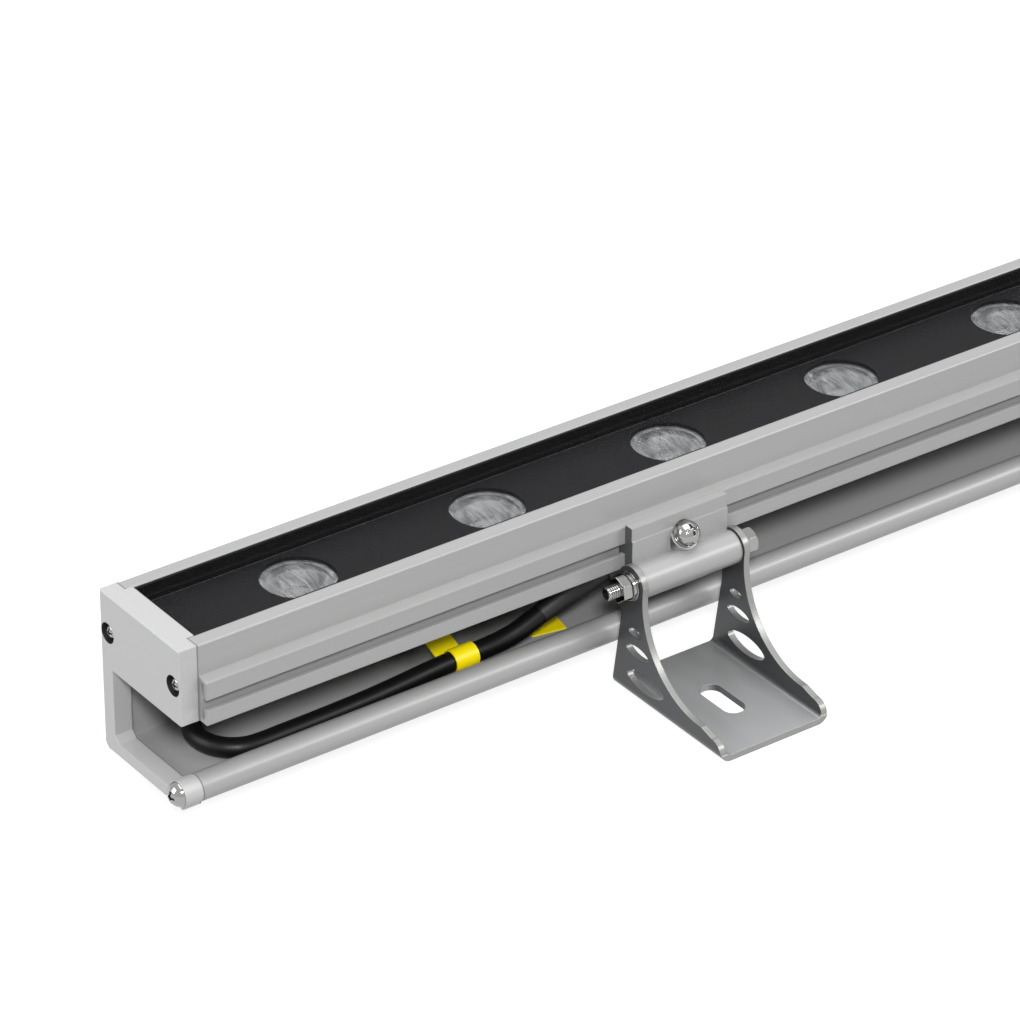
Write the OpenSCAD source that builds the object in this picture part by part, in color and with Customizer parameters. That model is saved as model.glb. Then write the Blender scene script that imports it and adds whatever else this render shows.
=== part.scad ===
// Linear LED wall washer for outdoor walls.
// An aluminium extrusion carries a row of lenses under glass at the top, a lead in an open
// channel below, and a T rail along its front. Two clamps slide in the rail, and each one
// tilts on the pivot bolt of its own U bracket.
// Sizes are worked out in the lamp's own frame: X from the left end, Y back from the front
// face, and depths measured down from the top of the rims. in_place() then moves all of it
// so that the origin lies between the two fixing slots, on the face that meets the wall.

/* [Lamp] */
// Length over both end caps
lamp_l = 1000; // [700:1:1400]
// Depth of the section from front face to back
section_w = 40; // [39:0.5:48]
// Height of the closed head that holds the optics
head_h = 23.75; // [23.5:0.25:27]
// Height of the whole section
section_h = 51; // [50:0.5:60]
// Radius of the rounded lower back corner
foot_r = 3.5; // [2.5:0.1:4.5]
// Chamfer on the long edges and end faces
edge_c = 0.5; // [0.3:0.1:0.8]

/* [Housing] */
// Width of the front rim
rim_front_w = 5; // [4.6:0.1:5.6]
// Width of the back rim
rim_back_w = 4.3; // [4.2:0.1:5]
// Wall beside the tray
tray_wall_t = 2.4; // [1.8:0.1:2.6]
// Width of the ledge under the glass seal
ledge_w = 2.2; // [1.8:0.1:2.4]
// Thickness of that ledge
ledge_t = 2; // [1.4:0.1:2.6]
// Depth of the ledge below the rims
seat_d = 5; // [4.8:0.1:5.4]
// Thickness of the tray floor
tray_floor_t = 3.25; // [2.8:0.05:3.4]
// Back wall of the lead channel
channel_wall_t = 2.4; // [2:0.1:3.2]
// Floor of the lead channel
floor_t = 1.8; // [1.5:0.1:2.2]
// Radius of the round front bead
bead_r = 4.1; // [3.8:0.1:4.4]
// Centre of the bead behind the front face
bead_y = 2.7; // [2.4:0.1:3]

/* [Rail] */
// Depth of the crease where the rail starts
rail_d = 9.8; // [9.4:0.1:10.2]
// Drop of the rail's sloped top
rail_slope = 0.6; // [0.3:0.1:0.9]
// How far the lips stand out from the front face
lip_out = 3.6; // [3.5:0.1:4]
// Thickness of a lip
lip_t = 1.4; // [1.2:0.1:1.6]
// Depth of the slot's upper edge
slot_d = 15.8; // [15.4:0.1:16.2]
// Height of the slot between the lips
slot_h = 3.4; // [3:0.1:3.8]
// Web at the top and foot of the rail's cavity
rail_web_t = 0.9; // [0.8:0.1:1.2]
// Wall behind the cavity, in front of the face
rail_back_t = 0.8; // [0.6:0.1:0.9]

/* [Optics] */
// Number of lenses
lens_count = 15; // [9:1:17]
// First lens centre from the lamp's end
lens_first = 52; // [45:1:80]
// Radius of a window in the mask
window_r = 11; // [10.5:0.1:11.5]
// Radius of the lens flange under the mask
flange_r = 12.2; // [11.8:0.1:12.6]
// Thickness of that flange
flange_t = 1.2; // [1:0.1:1.5]
// Radius of the dome at its foot
dome_r = 9.4; // [8.8:0.1:10]
// Height of the dome
dome_h = 2; // [1.4:0.1:2.2]
// Radius of the lens foot on the board
lens_foot_r = 5.2; // [4.8:0.1:6]
// Radius of the hollow over the emitter
hollow_r = 3.2; // [3:0.1:3.6]
// Height of that hollow
hollow_h = 4.5; // [3.6:0.1:5.5]
// Thickness of the cover glass
glass_t = 3; // [2.6:0.1:3.2]
// Depth of the glass below the rims
glass_d = 0.5; // [0.3:0.1:0.8]
// Rubber beside the edge of the glass
seal_side_t = 0.8; // [0.5:0.1:1.2]
// Thickness of the black mask
mask_t = 1.2; // [1:0.1:1.5]
// Thickness of the circuit board
board_t = 1.6; // [1.4:0.1:1.8]
// Thickness of the heat pad under it
pad_t = 0.5; // [0.3:0.1:0.7]
// Side of an emitter's base
emitter_w = 3.5; // [3:0.1:4]
// Height of an emitter's base
emitter_t = 0.7; // [0.5:0.1:1]
// Radius of an emitter's dome
emitter_r = 1.5; // [1.2:0.1:1.7]
// Number of screws that hold the board
board_screws = 7; // [3:2:7]

/* [End caps] */
// Plate of an end cap
plate_t = 5.6; // [5:0.1:7]
// Rubber gasket behind the plate
gasket_t = 0.4; // [0.3:0.1:0.8]
// How far the tongue enters the tray
tongue_l = 2.4; // [2:0.1:3]
// Back leg of the cap
leg_back_w = 5.4; // [5:0.1:6]
// Lower leg of the cap
leg_low_h = 4.2; // [4:0.1:4.6]
// Chamfer in the corner of the window
window_c = 2; // [1:0.1:3]
// Side screw from the face beside it
port_in = 3.6; // [3.6:0.05:3.8]
// Depth of the side screws
port_d = 12.4; // [12:0.1:13]
// Radius of the recess over a side screw head
recess_r = 3.1; // [3:0.05:3.2]
// Depth of that recess
recess_d = 2.4; // [2.2:0.1:3.4]

/* [Brackets] */
// Middle of a bracket from the lamp's end
bracket_in = 163.5; // [130:0.5:220]
// Thickness of the bent sheet
sheet_t = 2; // [1.5:0.1:3]
// Inner radius of its bends
bend_r = 1.5; // [1:0.1:2.5]
// Width of the clamp between the ears
clamp_l = 34; // [30:0.5:40]
// Pivot in front of the front face
pivot_out = 9.6; // [9.6:0.1:10.4]
// Depth of the pivot below the rims
pivot_d = 25.7; // [25.5:0.1:26.5]
// Height of the pivot over the wall
pivot_h = 37.5; // [36:0.5:42]
// Radius of the ear round the pivot
ear_r = 5.8; // [5.5:0.05:5.85]
// Radius of the ear's swept front edge
sweep_r = 27.2; // [26:0.1:28]
// Reach of the base in front of the pivot
base_reach = 42.9; // [41:0.1:46]
// Reach of the base behind the pivot
base_back = 8; // [7:0.1:8.4]
// Length of the fixing slot
fix_l = 17; // [14:0.5:19]
// Width of the fixing slot
fix_w = 7; // [5:0.1:8]
// Middle of the fixing slot in front of the pivot
fix_out = 18.7; // [17:0.1:21]

/* [Clamps] */
// Radius of the clamp's barrel
barrel_r = 5; // [4.8:0.1:5.2]
// Thickness of its flange
clamp_t = 3; // [2.6:0.1:3.2]
// Depth of the flange's top edge
clamp_d = 9.6; // [9:0.1:10.2]
// Thickness of the head in the rail
tee_t = 1; // [0.8:0.05:1.05]
// Height of that head
tee_h = 9.6; // [7:0.1:9.8]
// Height of the step on the flange
step_h = 4.2; // [3:0.1:5]
// How far the lower part of the flange stands out
step_t = 0.4; // [0.2:0.1:0.5]

/* [Fasteners] */
// Radius of the pivot bolt
bolt_r = 2; // [1.8:0.05:2.1]
// Length of the pivot bolt under its head
bolt_l = 48; // [45:0.5:55]
// Width across flats of its head and nut
hex_w = 7; // [6.8:0.1:7.4]
// Height of the bolt's head
bolt_head_h = 4; // [2.8:0.1:4.4]
// Height of the nut
nut_h = 3.2; // [3:0.1:4]
// Radius of the flat washers on the bolt
washer_r = 4.5; // [4.2:0.1:4.8]
// Thickness of a flat washer
washer_t = 0.8; // [0.7:0.1:1.2]
// Thickness of a spring washer
spring_t = 1; // [0.8:0.1:1.4]
// Thickness of the flat washer on a clamp screw
screw_washer_t = 1; // [0.8:0.1:1.2]
// Thickness of the spring washer on it
screw_spring_t = 1.2; // [1:0.1:1.4]
// Radius of the larger screws
screw_r = 2; // [1.8:0.05:2.1]
// Radius of their pan heads
pan_r = 3.8; // [3.5:0.1:4]
// Height of their pan heads
pan_h = 2.8; // [2.4:0.1:3.1]
// Radius of the smaller screws
small_r = 1.5; // [1.3:0.05:1.5]
// Radius of their pan heads
small_pan_r = 2.8; // [2.6:0.05:2.9]
// Height of their pan heads
small_pan_h = 2.1; // [1.8:0.1:2.3]
// Length of a side screw under its head
side_screw_l = 12; // [10:0.5:16]
// Length of the lower end screws
low_screw_l = 16; // [12:0.5:20]

/* [Lead] */
// Diameter of the lead
lead_d = 6; // [5.6:0.1:6]
// Radius of the moulded connector
plug_r = 5; // [4.6:0.1:5]
// Length of its thick part
plug_l = 31; // [26:0.5:36]
// Length of its tapered nose
nose_l = 10; // [8:0.5:14]
// Radius at the end of the nose
nose_r = 3.6; // [3.3:0.1:4]
// Length of a cable outlet under the tray
outlet_l = 18; // [16:0.5:20]
// Radius of its sloping barrel
outlet_r = 5.6; // [5.2:0.1:5.8]
// Slope of the barrel and strain relief
outlet_slope = 22; // [18:0.5:24]
// Length of the strain relief
relief_l = 22; // [20:0.5:22.5]
// Length of the marker sleeve
sleeve_l = 8; // [6:0.5:9]
// Thickness of the marker film
film_t = 0.4; // [0.3:0.05:0.5]

/* [Hidden] */
$fn = 64;
over = 1;
fit = 0.05;
gap = 0.15;
rest_gap = 0.2;
two = 2;

// Lens rings are named with two figures
function lens_name(i) = str("lens_", i < 10 ? "0" : "", i);

// Places along the lamp
end_t = plate_t + gasket_t;
body_l = lamp_l - 2 * end_t;
tray_x = plate_t + tongue_l;
lens_pitch = (lamp_l - 2 * lens_first) / (lens_count - 1);
bracket_x = [bracket_in, lamp_l - bracket_in];

// Places across the section
tray_front = rim_front_w;
tray_back = section_w - rim_back_w;
well_front = tray_front + ledge_w;
well_back = tray_back - ledge_w;
lens_y = (tray_front + tray_back) / 2;
port_y = [port_in, section_w - port_in];
port_wall = 1.7;
floor_y = section_w - channel_wall_t;

// Depths below the rims
well_d = head_h - tray_floor_t;
board_d = well_d - pad_t - board_t;
floor_d = section_h - floor_t;
bead_d = section_h - bead_r;
glass_low_d = glass_d + glass_t;
mask_low_d = seat_d + mask_t;
flange_d = mask_low_d + fit;
wall_d = pivot_d + pivot_h;
port_r = small_r - fit;
bead_port_r = screw_r - fit;
boss_ring_r = port_r + port_wall;

// Bracket places, with the pivot in front of the face
pivot_y = -pivot_out;
fix_y = pivot_y - fix_out;
ear_in = clamp_l / 2 + gap;
ear_out = ear_in + sheet_t;
bolt_hole_r = bolt_r + gap;
barrel_bore_r = bolt_r + fit;

hex_turn = -10;
screw_side = 0.8;
tip_chamfer = 0.4;

// The ear's outline: a swept front edge, a nose at its foot and a slanting back
nose_r_in = 4.2;
nose_back = 4.6;
nose_up = 1.8;
foot_lip = 0.3;
front_in = 0.3;
waist_out = 4.3;
waist_h = 25;
neck_h = 29.5;
waist_drop = 1;
heel_h = 1.2;
front_y = pivot_y - ear_r + front_in;
sweep_y = front_y + fit - sweep_r;
sweep_h = pivot_h - 3;
foot_h = sweep_h - sweep_r;
foot_front = pivot_y - base_reach;

// Three oval holes in each ear: middle in front of the pivot, height over the wall, half sizes
oval_out_shares = [0.148, 0.07, 0.045];
oval_h_shares = [0.214, 0.442, 0.603];
oval_a_shares = [0.227, 0.138, 0.077];
oval_b_shares = [0.082, 0.051, 0.035];
oval_sides = 32;
oval_power = 1.2;

// Clamp places
rail_gap = 0.2;
clamp_back = -lip_out - rail_gap;
clamp_front = clamp_back - clamp_t;
tee_back = -rail_back_t - rail_gap;
slot_mid_d = slot_d + slot_h / 2;
stem_h = slot_h - 2 * rail_gap / 2;
boss_r = pan_r + 0.6;
spot_r = pan_r + 2 * gap;
boss_out = 1.5;
boss_y = clamp_front - boss_out;
boss_d = pivot_d - barrel_r - 3.9;
tip_r = 1.2;
tip_l = 1.2;
clamp_tilt = 45;
lip_reach = (-lip_out - boss_y) / cos(clamp_tilt);

// Screws between the lenses hold the board
screw_step = floor((lens_count - 1) / board_screws);
board_screw_x = [for (i = [0:board_screws - 1]) lens_first + (i * screw_step + 0.5) * lens_pitch];

// Recess cut in a pan head
cross_w = 0.9;
cross_l = 3.6;
cross_d = 1.4;
small_cross_share = 0.75;

// Cable outlets under the tray, one at each end of the lamp
outlet_x = 148;
outlet_y = 10.8;
outlet_places = [outlet_x + outlet_l / 2, lamp_l - outlet_x - outlet_l / 2];
mouth_d = head_h + 7.55;
saddle_t = 5;
saddle_in = 2;
barrel_l = 14;
stub_r = 3.4;
stub_l = tray_floor_t - 0.25;
wire_r = 0.6;
wire_gap = 3;
wire_up = 0.8;
wire_y = outlet_y - stub_r / 4;
relief_r = 4.8;
plug_seat_l = 4;
pin_wall = 0.9;

// Route of the lead: from the strain relief down to the front of the channel, left along the
// bead, round in the left end, and back along the rear wall to the connector
lead_start = [outlet_x - relief_l * cos(outlet_slope), outlet_y, -mouth_d - relief_l * sin(outlet_slope)];
lead_points = concat([lead_start], [
    [124.2, 10.9, -40.95], [120.6, 11.1, -42.45], [116.6, 11.6, -43.85], [112.2, 12.2, -44.85],
    [107.2, 12.6, -45.4], [101.5, 12.6, -45.5], [93, 12.2, -45.55], [82, 11.5, -45.85],
    [70, 10.8, -46.1], [58, 10.3, -46.1], [46, 10.05, -46.1], [38, 10, -46.1],
    [31, 10, -46.1], [27.29, 10.59, -46.1], [23.95, 12.29, -46.1], [21.29, 14.95, -46.1],
    [19.59, 18.29, -46.1], [19, 22, -46.1], [19.59, 25.71, -46.1], [21.29, 29.05, -46.1],
    [23.95, 31.71, -46.1], [27.29, 33.41, -46.1], [31, 34, -46.1], [37, 34.1, -46.1],
    [46, 34.1, -46.1], [56, 34.1, -46], [66, 33.8, -45.7], [75, 33.2, -45.1],
    [83, 32.5, -44.4], [88, 32.25, -44.15], [92, 32.2, -44.1]]);
lead_sides = 12;

// The marker pieces on the lead and under it
sleeve_at = [101.5, 12.6, -45.5];
sleeve_turn = 1.5;
flap_l = 8.6;
flap_w = 7;
flap_in = 7;
flap_tilt = 24;
flag_at = [133.8, 18.4];
flag_l = 11;
flag_w = 10;
flag_turn = -10;

// A bar of the section from y0 to y1, between two depths
module bar(y0, y1, d0, d1) {
    translate([y0, -d1]) square([y1 - y0, d1 - d0]);
}

// Runs an outline drawn across the section along the lamp
module along(x0, length) {
    translate([x0, 0, 0]) rotate([90, 0, 90]) linear_extrude(length) children();
}

// A disc of the section
module dot(y, d, r) {
    translate([y, -d]) circle(r);
}

// A corner cut of an outline
module corner(y, d) {
    translate([y, -d]) rotate(45) square(edge_c, center = true);
}

// Moves the lamp's own frame to the part's origin
module in_place() {
    translate([-lamp_l / 2, -fix_y, wall_d]) children();
}

// Draws a thing for the left end and its mirror image for the right end
module right_end() {
    translate([lamp_l, 0, 0]) mirror([1, 0, 0]) children();
}

// Screw with a domed head and a cross recess, head up, seat at zero
module pan_screw(shank_r, shank_l, head_r, head_h, cross_share) {
    ball_r = (head_r * head_r + head_h * head_h) / (2 * head_h);
    translate([0, 0, -shank_l]) cylinder(h = shank_l + head_h / 2, r = shank_r);
    difference() {
        intersection() {
            cylinder(h = head_h, r = head_r);
            translate([0, 0, head_h - ball_r * 0.98]) sphere(ball_r, $fn = 48);
        }
        for (turn = [0, 90]) rotate(turn)
            translate([-cross_l * cross_share / 2, -cross_w * cross_share / 2, head_h - cross_d * cross_share])
                cube([cross_l * cross_share, cross_w * cross_share, cross_d + over]);
    }
}

// Flat ring with its lower face at zero
module ring(outer_r, inner_r, height) {
    difference() {
        cylinder(h = height, r = outer_r);
        translate([0, 0, -over]) cylinder(h = height + 2 * over, r = inner_r);
    }
}

// Spring washer: a ring with a slanting split
module split_ring(outer_r, inner_r, height) {
    difference() {
        ring(outer_r, inner_r, height);
        translate([inner_r / 2, 0, height / 2]) rotate([30, 0, 0])
            translate([0, -height / 4, -2 * height]) cube([outer_r, height / 2, 4 * height]);
    }
}

// Hexagon with its corners turned off at both ends
module hexagon(width, height) {
    tip = width / 2 / cos(30);
    intersection() {
        cylinder(h = height, r = tip, $fn = 6);
        translate([0, 0, -tip + height]) cylinder(h = tip, r1 = 2 * tip, r2 = width / 2 * 0.98);
        cylinder(h = tip, r1 = width / 2 * 0.98 + tip, r2 = width / 2 * 0.98 + 2 * tip);
    }
}

// Outline of the channel: back wall, floor, rounded lower corner and round bead
module channel_outline(inner_y, inner_d) {
    difference() {
        union() {
            bar(inner_y, section_w, head_h - over, section_h);
            bar(bead_y, section_w, inner_d, section_h);
        }
        difference() {
            bar(section_w - foot_r, section_w + over, section_h - foot_r, section_h + over);
            dot(section_w - foot_r, section_h - foot_r, foot_r);
        }
    }
    dot(bead_y, bead_d, bead_r);
}

// Front rail: two lips with a slot between them
module rail_outline() {
    difference() {
        polygon([[fit, -rail_d], [0, -rail_d], [-lip_out, -rail_d - rail_slope],
                 [-lip_out, -head_h], [fit, -head_h]]);
        bar(-lip_out - over, -rail_back_t, slot_d, slot_d + slot_h);
        bar(-lip_out + lip_t, -rail_back_t, rail_d + rail_slope + rail_web_t, head_h - rail_web_t);
    }
}

// Extruded section of the housing
module housing_outline() {
    difference() {
        union() {
            bar(0, section_w, 0, head_h);
            channel_outline(floor_y, floor_d);
            rail_outline();
        }
        bar(tray_front, tray_back, -over, seat_d);
        bar(well_front, well_back, -over, well_d);
        for (side = [0, 1]) {
            y0 = side == 0 ? tray_wall_t : well_back - over;
            y1 = side == 0 ? well_front + over : section_w - tray_wall_t;
            bar(y0, y1, seat_d + ledge_t, port_d - boss_ring_r);
            bar(y0, y1, port_d + boss_ring_r, well_d);
        }
        for (y = port_y) dot(y, port_d, port_r);
        dot(bead_y, bead_d, bead_port_r);
        for (y = [0, tray_front, tray_back, section_w]) corner(y, 0);
    }
}

module housing_profile() {
    color([0.66, 0.67, 0.68]) difference() {
        along(end_t, body_l) housing_outline();
        for (x = outlet_places) translate([x, outlet_y, -head_h - over])
            cylinder(h = tray_floor_t + 2 * over, r = stub_r + fit);
        for (x = board_screw_x) translate([x, lens_y, -head_h - over])
            cylinder(h = tray_floor_t + 2 * over, r = small_r + fit);
    }
}
// Outline shared by an end cap and its gasket: head, back leg, lower leg and lug
module cap_outline() {
    union() {
        bar(0, section_w, 0, head_h);
        channel_outline(section_w - leg_back_w, section_h - leg_low_h);
        bar(bead_y - bead_r / 2, bead_y + fit, bead_d, section_h);
        translate([section_w - leg_back_w, leg_low_h - section_h])
            polygon([[over, -over], [over, window_c + over], [-window_c - over, -over]]);
    }
}

// Chamfer along a straight edge of the cap's outer face
module face_edge(y, d, length, turn) {
    translate([0, y, -d]) rotate([turn, 0, 0]) translate([0, -over, 0]) rotate([0, 45, 0])
        translate([-edge_c / 2, 0, -edge_c / 2]) cube([edge_c, length + 2 * over, edge_c]);
}

module end_cap() {
    difference() {
        union() {
            along(0, plate_t) cap_outline();
            along(plate_t - fit, tongue_l + fit) union() {
                bar(tray_front + fit, tray_back - fit, 0, seat_d);
                bar(well_front + fit, well_back - fit, 0, well_d - fit);
            }
        }
        for (y = port_y) translate([0, y, -port_d]) rotate([0, 90, 0]) {
            translate([0, 0, -over]) cylinder(h = plate_t + 2 * over, r = small_r + gap);
            translate([0, 0, -over]) cylinder(h = recess_d + over, r = recess_r);
        }
        translate([-over, bead_y, -bead_d]) rotate([0, 90, 0])
            cylinder(h = plate_t + 2 * over, r = screw_r + gap);
        face_edge(0, 0, section_w, 0);
        face_edge(bead_y, section_h, section_w - foot_r - bead_y, 0);
        face_edge(0, head_h, head_h, 90);
        face_edge(section_w, section_h - foot_r, section_h - foot_r, 90);
    }
}

module end_cap_left() {
    color([0.72, 0.73, 0.74]) end_cap();
}

module end_cap_right() {
    color([0.72, 0.73, 0.74]) right_end() end_cap();
}

module end_gasket() {
    color([0.08, 0.08, 0.08]) along(plate_t, gasket_t) difference() {
        cap_outline();
        bar(tray_front, tray_back, -over, seat_d);
        bar(well_front, well_back, -over, well_d);
        for (y = port_y) dot(y, port_d, small_r + gap);
        dot(bead_y, bead_d, screw_r + gap);
    }
}

module end_gasket_left() {
    end_gasket();
}

module end_gasket_right() {
    right_end() end_gasket();
}

module side_screw_pair() {
    for (y = port_y) translate([recess_d, y, -port_d]) rotate([0, -90, 0])
        pan_screw(port_r, side_screw_l, small_pan_r, small_pan_h, small_cross_share);
}

module cap_side_screws() {
    color([0.75, 0.75, 0.76]) {
        side_screw_pair();
        right_end() side_screw_pair();
    }
}

module lower_screw() {
    translate([0, bead_y, -bead_d]) rotate([0, -90, 0])
        pan_screw(bead_port_r, low_screw_l, pan_r, pan_h, 1);
}

module cap_lower_screws() {
    color([0.75, 0.75, 0.76]) {
        lower_screw();
        right_end() lower_screw();
    }
}

module cover_glass() {
    x0 = tray_x + seal_side_t;
    color([0.85, 0.9, 0.9, 0.4]) translate([x0, tray_front + seal_side_t, -glass_low_d])
        cube([lamp_l - 2 * x0, tray_back - tray_front - 2 * seal_side_t, glass_t]);
}

// Rubber frame round the glass and under its margin
module glass_seal() {
    length = lamp_l - 2 * tray_x;
    color([0.06, 0.06, 0.06]) difference() {
        translate([tray_x, tray_front, -seat_d]) cube([length, tray_back - tray_front, seat_d - glass_d]);
        translate([tray_x + seal_side_t, tray_front + seal_side_t, -glass_low_d])
            cube([length - 2 * seal_side_t, tray_back - tray_front - 2 * seal_side_t, seat_d]);
        translate([tray_x + ledge_w, well_front, -seat_d - over])
            cube([length - 2 * ledge_w, well_back - well_front, seat_d]);
    }
}

module lens_mask() {
    color([0.05, 0.05, 0.05]) difference() {
        translate([tray_x, well_front + fit, -mask_low_d])
            cube([lamp_l - 2 * tray_x, well_back - well_front - 2 * fit, mask_t]);
        for (i = [0:lens_count - 1]) translate([lens_first + i * lens_pitch, lens_y, -mask_low_d - over])
            cylinder(h = mask_t + 2 * over, r = window_r);
    }
}

// Clear lens: domed flange under the mask, cone down to the board, hollow over the emitter
module lens(i) {
    cone_h = board_d - flange_d - flange_t;
    ball_r = (dome_r * dome_r + dome_h * dome_h) / (2 * dome_h);
    color([0.85, 0.87, 0.88, 0.6]) translate([lens_first + (i - 1) * lens_pitch, lens_y, -board_d]) difference() {
        union() {
            cylinder(h = cone_h, r1 = lens_foot_r, r2 = flange_r - mask_t);
            translate([0, 0, cone_h]) cylinder(h = flange_t, r = flange_r);
            intersection() {
                translate([0, 0, cone_h + flange_t - over]) cylinder(h = dome_h + over, r = dome_r);
                translate([0, 0, cone_h + flange_t + dome_h - ball_r]) sphere(ball_r, $fn = 96);
            }
        }
        translate([0, 0, -over]) cylinder(h = hollow_h + over, r = hollow_r);
    }
}

// Places where the feed wires pass the board at each outlet
module wire_holes(radius) {
    for (x = outlet_places) for (side = [-1, 1]) translate([x + side * wire_gap / 2, wire_y, 0])
        translate([0, 0, -well_d - over]) cylinder(h = well_d, r = radius);
}

module led_board() {
    color([0.9, 0.9, 0.88]) difference() {
        translate([tray_x + tongue_l, well_front + fit, -board_d - board_t])
            cube([lamp_l - 2 * (tray_x + tongue_l), well_back - well_front - 2 * fit, board_t]);
        for (x = board_screw_x) translate([x, lens_y, -well_d - over])
            cylinder(h = well_d, r = small_r + gap);
        wire_holes(wire_r + fit);
    }
}

module heat_pad() {
    color([0.55, 0.6, 0.65]) difference() {
        translate([tray_x + tongue_l, well_front + gap, -well_d])
            cube([lamp_l - 2 * (tray_x + tongue_l), well_back - well_front - 2 * gap, pad_t]);
        for (x = board_screw_x) translate([x, lens_y, -well_d - over])
            cylinder(h = well_d, r = small_r + gap);
        wire_holes(wire_r + fit);
    }
}

module led_emitters() {
    color([0.95, 0.9, 0.55]) for (i = [0:lens_count - 1])
        translate([lens_first + i * lens_pitch, lens_y, -board_d]) {
            translate([-emitter_w / 2, -emitter_w / 2, 0]) cube([emitter_w, emitter_w, emitter_t]);
            translate([0, 0, emitter_t]) intersection() {
                sphere(emitter_r, $fn = 32);
                translate([0, 0, -emitter_t / 2]) cylinder(h = emitter_r * 2, r = emitter_w / 2);
            }
        }
}

module board_fixings() {
    color([0.75, 0.75, 0.76]) for (x = board_screw_x) translate([x, lens_y, -board_d])
        pan_screw(small_r, board_t + pad_t + tray_floor_t - fit, small_pan_r, small_pan_h, small_cross_share);
}

module feed_wires() {
    color([0.75, 0.2, 0.15]) for (x = outlet_places) for (side = [-1, 1])
        translate([x + side * wire_gap / 2, wire_y, -head_h + stub_l])
            cylinder(h = head_h - stub_l - board_d + wire_up, r = wire_r);
}

// Puts Z along the outlet's sloping barrel, with zero on its mouth
module at_mouth() {
    translate([outlet_x, outlet_y, -mouth_d]) rotate([0, -90 - outlet_slope, 0]) children();
}

// Moulded outlet under the tray, sloping down towards the lamp's end
module outlet_body() {
    difference() {
        union() {
            at_mouth() translate([0, 0, -barrel_l]) cylinder(h = barrel_l, r = outlet_r);
            at_mouth() translate([0, 0, -barrel_l]) sphere(outlet_r - fit);
        }
        translate([outlet_x - outlet_l, outlet_y - 2 * outlet_r, -head_h])
            cube([3 * outlet_l, 4 * outlet_r, head_h]);
    }
    translate([outlet_x + saddle_in, outlet_y - outlet_r + fit, -head_h - saddle_t])
        cube([outlet_l - saddle_in, 2 * (outlet_r - fit), saddle_t]);
    translate([outlet_x + outlet_l / 2, outlet_y, -head_h - fit]) cylinder(h = stub_l + fit, r = stub_r);
}

module cable_outlet() {
    color([0.09, 0.09, 0.1]) outlet_body();
}

module strain_relief() {
    color([0.07, 0.07, 0.07]) at_mouth() cylinder(h = relief_l, r1 = relief_r, r2 = lead_d / 2);
}

// The far outlet has no lead and is stopped with a plug
module blank_outlet() {
    color([0.09, 0.09, 0.1]) right_end() outlet_body();
}

module outlet_plug() {
    color([0.07, 0.07, 0.07]) right_end() at_mouth() hexagon(hex_w, plug_seat_l);
}

// Sweeps a round section along the lead's points
function unit(v) = v / norm(v);
function heading(p, i) = unit(p[min(i + 1, len(p) - 1)] - p[max(i - 1, 0)]);
function sideways(t) = unit(cross([0, 0, 1], t));
function lead_ring(p, i, r, n, t) = let (s = sideways(t), u = cross(t, s))
    [for (k = [0:n - 1]) p[i] + r * (cos(360 * k / n) * s + sin(360 * k / n) * u)];
function lead_heading(p, i) = i == 0 ? [-cos(outlet_slope), 0, -sin(outlet_slope)]
    : i == len(p) - 1 ? [1, 0, 0] : heading(p, i);

module input_lead() {
    p = lead_points;
    n = lead_sides;
    rings = [for (i = [0:len(p) - 1]) each lead_ring(p, i, lead_d / 2, n, lead_heading(p, i))];
    walls = [for (i = [0:len(p) - 2]) for (k = [0:n - 1]) let (a = i * n + k, b = i * n + (k + 1) % n)
        each [[a, a + n, b + n], [a, b + n, b]]];
    first = [for (k = [0:n - 1]) k];
    last = [for (k = [n - 1:-1:0]) (len(p) - 1) * n + k];
    color([0.06, 0.06, 0.06]) polyhedron(points = rings, faces = concat([first], walls, [last]));
}

// Puts Z along the connector, with zero on the lead's end
module at_plug() {
    translate(lead_points[len(lead_points) - 1]) rotate([0, 90, 0]) children();
}

module input_connector() {
    color([0.08, 0.08, 0.08]) at_plug() difference() {
        union() {
            cylinder(h = plug_l, r = plug_r);
            translate([0, 0, plug_l]) cylinder(h = nose_l, r1 = plug_r, r2 = nose_r);
        }
        translate([0, 0, plug_l + nose_l / 2]) cylinder(h = nose_l, r = nose_r - pin_wall);
    }
}

module connector_pins() {
    color([0.85, 0.7, 0.3]) at_plug() for (side = [-1, 1])
        translate([0, side * nose_r / 3, plug_l + nose_l / 2]) cylinder(h = nose_l / 2 - gap, r = wire_r);
}

// Blank sleeve on the lead, with a flap that stands off behind it
module marker_sleeve() {
    inner_r = lead_d / 2 + gap;
    color([0.98, 0.88, 0.08]) translate(sleeve_at) rotate([0, 0, sleeve_turn]) {
        translate([-sleeve_l / 2, 0, 0]) rotate([0, 90, 0]) ring(inner_r + film_t, inner_r, sleeve_l);
        translate([-flap_in, 0, 0]) rotate([flap_tilt, 0, 0]) translate([0, inner_r + fit, -film_t / 2])
            cube([flap_l, flap_w, film_t]);
    }
}

// Blank flag that lies on the channel's floor behind the bead
module marker_flag() {
    color([0.98, 0.88, 0.08]) translate([flag_at[0], flag_at[1], -floor_d]) rotate(flag_turn)
        translate([-flag_l / 2, -flag_w / 2, 0]) cube([flag_l, flag_w, film_t]);
}

// An oval a little sharper at its ends than an ellipse
module oval(a, b) {
    polygon([for (i = [0:oval_sides - 1])
        let (turn = 360 * i / oval_sides, rise = sin(turn))
        [a * cos(turn), b * sign(rise) * pow(abs(rise), oval_power)]]);
}

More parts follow.
